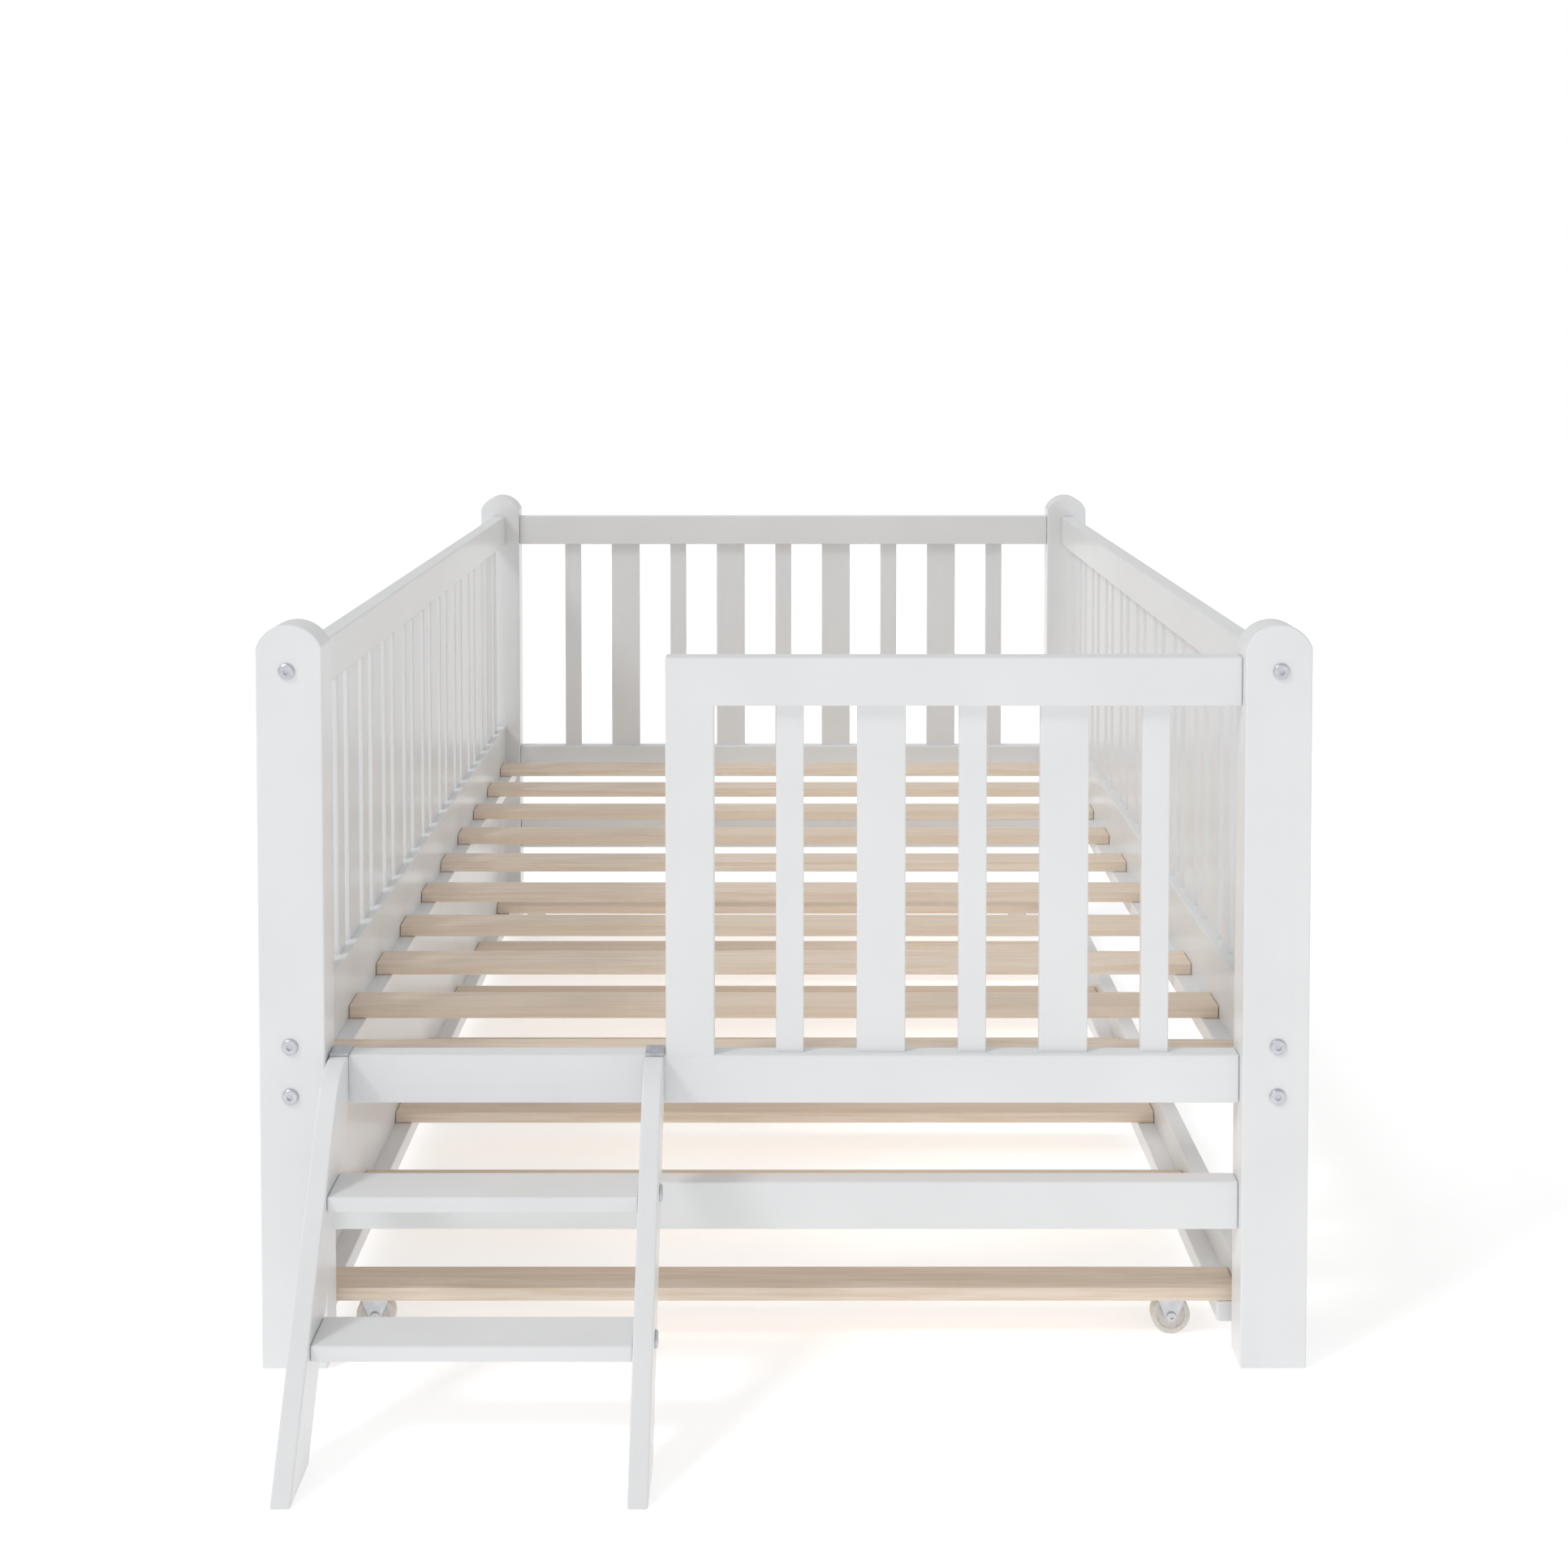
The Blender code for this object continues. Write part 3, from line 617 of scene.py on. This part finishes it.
def makeBolt(node, body, direction):
    low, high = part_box(node)
    outward = Vector(direction)
    axis = [abs(value) for value in direction].index(1)
    end = high[axis] if direction[axis] > 0 else low[axis]
    length = high[axis] - low[axis] - bolt["head"]
    seat = Vector([(a + b) / 2 for a, b in zip(low, high)])
    seat[axis] = end - direction[axis] * bolt["head"]
    outline = [(radius, -length if height is None else height) for radius, height in boltOutline]
    shape = bmesh.new()
    addTurned(shape, outline, bolt["steps"], Matrix.Translation(seat) @ facing(outward), boltFlats)
    finishPiece(f"{node}_head", shape, ["zinc"], body, [node])


for side in ("left", "right"):
    for number in (1, 2, 3):
        makeBolt(f"bolt_front_{side}_{number}", "bed", (0, -1, 0))
        makeBolt(f"bolt_back_{side}_{number}", "bed", (0, 1, 0))
    for level in ("lower", "upper"):
        makeBolt(f"ladder_bolt_{side}_{level}", "ladder", (-1 if side == "left" else 1, 0, 0))
print("bolts made")


# Casters: moulded wheels and pressed forks with a riveted axle

caster = {
    "bore": 0.0043,
    "boreEase": 0.0004,
    "hub": (0.0086, 0.0092),  # radii where the hub's face ends and its slope starts
    "hollow": (0.0102, 0.0110, 0.0190, 0.0198),  # radii of the hollowed side and its corners
    "hollowDepth": 0.0023,
    "tread": (0.0206, 0.0211),  # radii where the tread's face starts
    "ease": 0.0003,
    "shoulder": (  # (in from the rim, in from the side) round the tread's edge
        (0.0024, 0), (0.0014, 0.0003), (0.0006, 0.0009), (0.0001, 0.0018), (0, 0.0028),
    ),
    "wheelSteps": 64,
    "plate": 0.002,
    "plateRound": 0.0004,
    "plateSegments": 2,
    "ear": 0.009,
    "earSteps": 16,
    "lip": 0.003,
    "axle": 0.004,
    "pinSteps": 24,
    "rivet": 0.0075,
    "rivetHead": 0.0025,
    "rivetSteps": 36,
}
rivetOutline = [  # (radius, height over the cheek)
    (0, -caster["plate"]),
    (caster["axle"], -caster["plate"]),
    (caster["axle"], 0),
    (caster["rivet"], 0),
    (caster["rivet"], 0.0010),
    (0.0070, 0.0019),
    (0.0060, 0.0024),
    (0.0050, caster["rivetHead"]),
    (0.0028, caster["rivetHead"]),
    (0.0028, 0.0008),
    (0, 0.0005),
]
rivetFlats = (8, 9)
along = facing((0, 1, 0))

for end in ("front", "back"):
    for side in ("left", "right"):
        node = f"caster_wheel_{end}_{side}"
        low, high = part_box(node)
        hub = Vector([(a + b) / 2 for a, b in zip(low, high)])
        radius = (high[2] - low[2]) / 2
        half = (high[1] - low[1]) / 2
        hollow = half - caster["hollowDepth"]
        bore, boreEase, ease = caster["bore"], caster["boreEase"], caster["ease"]
        levels = (half, half - ease, hollow + ease, hollow, hollow, hollow + ease, half - ease, half)
        profile = [(bore, half - boreEase), (bore + boreEase, half)]
        profile += list(zip(caster["hub"] + caster["hollow"] + caster["tread"], levels))
        profile += [(radius - back, half - down) for back, down in caster["shoulder"]]
        outline = profile + [(out, -level) for out, level in reversed(profile)]
        shape = bmesh.new()
        addTurned(shape, outline, caster["wheelSteps"], Matrix.Translation(hub) @ along, closed=True)
        finishPiece(f"{node}_moulding", shape, ["nylon"], f"wheel_{end}_{side}", [node])

        node = f"caster_fork_{end}_{side}"
        low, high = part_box(node)
        halfTop = (high[0] - low[0]) / 2
        halfFork = (high[1] - low[1]) / 2 - caster["rivetHead"]
        top = high[2]
        drop = top - caster["lip"] - hub.z
        start = math.atan2(drop, halfTop) - math.acos(caster["ear"] / math.hypot(drop, halfTop))
        cheek = [(hub.x + halfTop, top), (hub.x + halfTop, top - caster["lip"])]
        for step in range(caster["earSteps"] + 1):
            angle = start - (math.pi + 2 * start) * step / caster["earSteps"]
            cheek.append((hub.x + caster["ear"] * math.cos(angle), hub.z + caster["ear"] * math.sin(angle)))
        cheek += [(hub.x - halfTop, top - caster["lip"]), (hub.x - halfTop, top)]
        shape = bmesh.new()
        for sign in (-1, 1):
            ends = sorted((hub.y + sign * halfFork, hub.y + sign * (halfFork - caster["plate"])))
            addExtrusion(shape, cheek, "Y", ends, caster["plateRound"], caster["plateSegments"])
            seat = Matrix.Translation((hub.x, hub.y + sign * halfFork, hub.z)) @ facing((0, sign, 0))
            addTurned(shape, rivetOutline, caster["rivetSteps"], seat, rivetFlats)
        addBoard(shape, (low[0], hub.y - halfFork, top - caster["plate"]),
                 (high[0], hub.y + halfFork, top), width=caster["plateRound"])
        inner = halfFork - caster["plate"] / 2
        pin = [(0, -inner), (caster["axle"], -inner), (caster["axle"], inner), (0, inner)]
        addTurned(shape, pin, caster["pinSteps"], Matrix.Translation(hub) @ along)
        finishPiece(f"{node}_pressing", shape, ["zinc"], "trundle", [node])
print("casters made")


# Floor, light and camera

studio = {
    "floorSize": 40,
    "paper": ("FAFAFA", "FFFFFF"),
    "paperMm": 250,
    "sky": 0.63,  # what the soft surround gives
    "backdrop": 1.0,  # what the camera sees past the floor
    "floorGlow": 0.34,  # keeps the paper white where the bed shades it
    "sun": 0.85,
    "sunSoftness": 14,  # degrees across
    "sunFrom": (-0.80, -0.50, 1.05),
}
scene = bpy.context.scene

floorMesh = bpy.data.meshes.new("floor")
floorShape = bmesh.new()
half = studio["floorSize"] / 2
floorCorners = ((-half, -half, 0), (half, -half, 0), (half, half, 0), (-half, half, 0))
floorShape.faces.new([floorShape.verts.new(corner) for corner in floorCorners])
floorShape.to_mesh(floorMesh)
floorShape.free()
# Matte backdrop paper: plain white with no gloss, lit a little by itself so that it stays white.
floorPaper, floorTree, floorShader = newMaterial("paper_backdrop_matte", {
    "Roughness": 0.9,
    "Specular IOR Level": 0.1,
    "Emission Color": (1, 1, 1, 1),
    "Emission Strength": studio["floorGlow"],
})
paper = addNode(floorTree, "ShaderNodeTexNoise", {"Scale": 1000 / studio["paperMm"], "Detail": 2})
paperTint = addNode(floorTree, "ShaderNodeValToRGB", links={"Fac": paper.outputs[0]})
paperTint.color_ramp.elements[0].color = linear(studio["paper"][0])
paperTint.color_ramp.elements[1].color = linear(studio["paper"][1])
floorTree.links.new(paperTint.outputs[0], floorShader.inputs["Base Color"])
floorMesh.materials.append(floorPaper)
floor = bpy.data.objects.new("floor", floorMesh)
scene.collection.objects.link(floor)

world = bpy.data.worlds.new("studio")
scene.world = world
world.use_nodes = True
surround = world.node_tree.nodes["Background"]
surround.inputs["Color"].default_value = (1, 1, 1, 1)
ray = addNode(world.node_tree, "ShaderNodeLightPath")
strength = addNode(world.node_tree, "ShaderNodeMapRange", {
    "To Min": studio["sky"], "To Max": studio["backdrop"],
}, {"Value": ray.outputs["Is Camera Ray"]})
world.node_tree.links.new(strength.outputs[0], surround.inputs["Strength"])

sunLamp = bpy.data.lights.new("key", "SUN")
sunLamp.energy = studio["sun"]
sunLamp.angle = math.radians(studio["sunSoftness"])
sun = bpy.data.objects.new("key", sunLamp)
sun.rotation_euler = (-Vector(studio["sunFrom"])).to_track_quat("-Z", "Y").to_euler()
scene.collection.objects.link(sun)

view = {
    "lens": 42.22,
    "sensor": 36,
    "place": (-0.0025, -3.4404, 1.498),
    "pitch": 2.0,  # degrees down
    "shiftX": 0.0011,
    "shiftY": -0.2514,
}
cameraData = bpy.data.cameras.new("camera")
cameraData.lens = view["lens"]
cameraData.sensor_width = view["sensor"]
cameraData.shift_x = view["shiftX"]
cameraData.shift_y = view["shiftY"]
camera = bpy.data.objects.new("camera", cameraData)
camera.location = view["place"]
camera.rotation_euler = (math.radians(90 - view["pitch"]), 0, 0)
scene.collection.objects.link(camera)
scene.camera = camera
scene.view_settings.view_transform = "Standard"
print("studio made")
